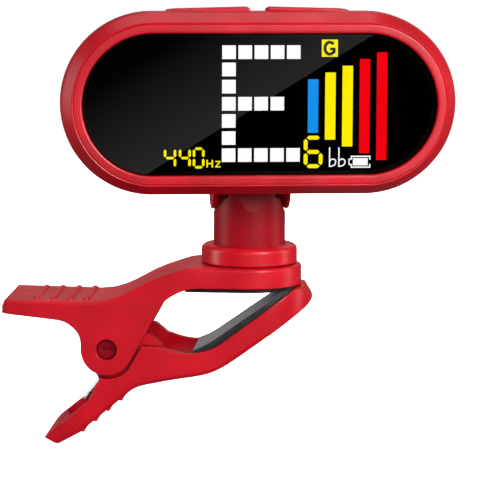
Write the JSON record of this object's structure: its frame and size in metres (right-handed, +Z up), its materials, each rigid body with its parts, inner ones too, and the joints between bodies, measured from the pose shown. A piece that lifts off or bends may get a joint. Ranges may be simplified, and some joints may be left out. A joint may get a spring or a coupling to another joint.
{
  "type": "clip-on tuner",
  "caption": "Clip-on instrument tuner: a sprung rubber-lined jaw clip with a swivelling neck and a wide rounded display head that tilts.",
  "frame": {"origin": "on the upper jaw pad's face, straight below the axis on which the neck swivels, in the middle of the clip's width", "axes": "+X from the thumb handles to the jaw tips, which is the way an instrument leaves the open jaws; +Z up the neck to the head; -Y the side the display faces, turned 9.4 degrees towards +X at rest"},
  "size_m": [0.07, 0.0296, 0.0687],
  "materials": {
    "red_plastic": "satin moulded",
    "black_rubber": "soft",
    "spring_steel": "drawn wire",
    "nylon": "natural",
    "plated_steel": "plated",
    "lens": "smoked gloss",
    "black_foam": "matt",
    "display_glass": "gloss",
    "white_plastic": "matt",
    "black_plastic": "matt",
    "grey_rubber": "soft",
    "board_green": "solder mask",
    "battery_foil": "foil",
    "brass": "plain"
  },
  "bodies": {
    "upper_clip": {"upper_arm": "red_plastic", "upper_jaw_pad": "black_rubber", "torsion_spring": "spring_steel"},
    "lower_clip": {"lower_arm": "red_plastic", "lower_jaw_pad": "black_rubber", "hinge_pin": "red_plastic"},
    "neck": {"neck": "red_plastic", "swivel_friction_ring": "nylon", "swivel_washer": "plated_steel", "swivel_screw": "plated_steel", "tilt_washers": "nylon"},
    "power_button": {"power_button": "red_plastic", "power_switch_plunger": "black_plastic"},
    "mode_button": {"mode_button": "red_plastic", "mode_switch_plunger": "black_plastic"},
    "head": {"tilt_pin": "plated_steel", "front_housing": "red_plastic", "rear_cover": "red_plastic", "cover_screws": "plated_steel", "display_lens": "lens", "lens_tape": "black_foam", "lcd_panel": "display_glass", "lcd_backlight": "white_plastic", "display_holder": "black_plastic", "lcd_connector": "grey_rubber", "circuit_board": "board_green", "tuner_chip": "black_plastic", "battery_cell": "battery_foil", "battery_leads": "red_plastic", "piezo_disc": "brass", "charging_socket": "plated_steel", "power_switch": "black_plastic", "mode_switch": "black_plastic"}
  },
  "joints": [
    {"name": "jaw_hinge", "type": "hinge", "parent": "upper_clip", "child": "lower_clip", "pos_m": [-0.0216, 0, -0.009], "axis": [0, 1, 0], "range_deg": [0, 45], "stiffness_Nm_per_rad": 0.12, "springref_deg": -68.75, "deforming": ["torsion_spring"]},
    {"name": "neck_swivel", "type": "hinge", "parent": "upper_clip", "child": "neck", "pos_m": [0, 0, 0.004], "axis": [0, 0, 1], "continuous": true},
    {"name": "head_tilt", "type": "hinge", "parent": "neck", "child": "head", "pos_m": [0, 0, 0.0171], "axis": [-0.9866, -0.1633, 0], "range_deg": [-15, 90]},
    {"name": "power_button_press", "type": "slide", "parent": "head", "child": "power_button", "axis": [0, 0, -1], "range_m": [0, 0.0003], "stiffness_N_per_m": 300, "springref_m": -0.002},
    {"name": "mode_button_press", "type": "slide", "parent": "head", "child": "mode_button", "axis": [0, 0, -1], "range_m": [0, 0.0003], "stiffness_N_per_m": 300, "springref_m": -0.002}
  ]
}
